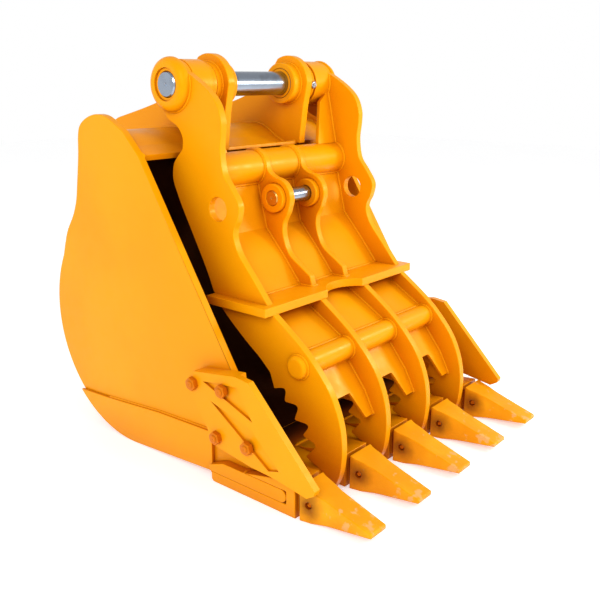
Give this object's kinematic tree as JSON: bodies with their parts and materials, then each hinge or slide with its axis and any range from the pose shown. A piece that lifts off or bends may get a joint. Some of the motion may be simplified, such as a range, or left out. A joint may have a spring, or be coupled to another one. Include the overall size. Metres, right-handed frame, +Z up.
{
  "type": "excavator bucket with hydraulic thumb",
  "caption": "General-purpose excavator bucket with bolt-on side cutters and replaceable teeth, and a tined hydraulic thumb that swings on the stick pin.",
  "frame": {"origin": "centre of the stick pin, on the bucket's middle plane", "axes": "+X along the pins to the bucket's right, -Y out of the mouth towards the teeth, +Z up with the bucket standing on its belly and adapters"},
  "size_m": [1.136, 1.433, 1.279],
  "materials": {
    "paint": "glossy yellow-orange paint",
    "tooth_paint": "satin yellow paint, slightly worn",
    "painted_bolts": "painted steel",
    "pin_steel": "ground and plated steel",
    "bushing_steel": "hardened steel",
    "bolt_steel": "zinc-plated steel"
  },
  "bodies": {
    "bucket": {"side_plate_left": "paint", "side_plate_right": "paint", "wrapper_shell": "paint", "lip_plate": "paint", "heel_wear_plate": "paint", "side_wear_plate_left": "paint", "side_wear_plate_right": "paint", "ear_left": "paint", "ear_right": "paint", "ear_tie_plate": "paint", "stick_boss_left": "paint", "stick_boss_right": "paint", "stick_bushings": "bushing_steel", "outer_boss_left": "paint", "outer_boss_right": "paint", "thrust_ring_left": "paint", "link_boss_left": "paint", "link_boss_right": "paint", "link_bushings": "bushing_steel", "tooth_adapter_1": "paint", "tooth_adapter_2": "paint", "tooth_adapter_3": "paint", "tooth_adapter_4": "paint", "tooth_adapter_5": "paint", "tooth_tip_1": "tooth_paint", "tooth_tip_2": "tooth_paint", "tooth_tip_3": "tooth_paint", "tooth_tip_4": "tooth_paint", "tooth_tip_5": "tooth_paint", "tooth_pins": "bolt_steel", "side_cutter_left": "paint", "side_cutter_right": "paint", "cutter_bolts": "painted_bolts", "cutter_nuts": "painted_bolts", "keeper_bolts": "bolt_steel"},
    "thumb": {"thumb_plate_left": "paint", "thumb_plate_right": "paint", "hub_tube_left": "paint", "hub_tube_right": "paint", "hub_boss_left": "paint", "hub_boss_right": "paint", "hub_bushings": "bushing_steel", "torque_tube": "paint", "clevis_plate_left": "paint", "clevis_plate_right": "paint", "clevis_boss_left": "paint", "clevis_boss_right": "paint", "shelf_plate": "paint", "inner_tine_left": "paint", "inner_tine_right": "paint", "upper_panels": "paint", "middle_panels": "paint", "lower_panels": "paint", "tie_tube": "paint", "arm_stiffeners": "paint"},
    "stick_pin_body": {"stick_pin": "pin_steel"},
    "thumb_pin_body": {"thumb_cylinder_pin": "pin_steel"}
  },
  "joints": [
    {"name": "thumb_swing", "type": "hinge", "parent": "bucket", "child": "thumb", "pos_m": [0, 0, 0], "axis": [-1, 0, 0], "range_deg": [0, 110]},
    {"name": "stick_pin_slide", "type": "slide", "parent": "bucket", "child": "stick_pin_body", "axis": [1, 0, 0], "range_m": [0, 0.8]},
    {"name": "thumb_pin_slide", "type": "slide", "parent": "thumb", "child": "thumb_pin_body", "axis": [1, 0, 0], "range_m": [0, 0.42]}
  ]
}
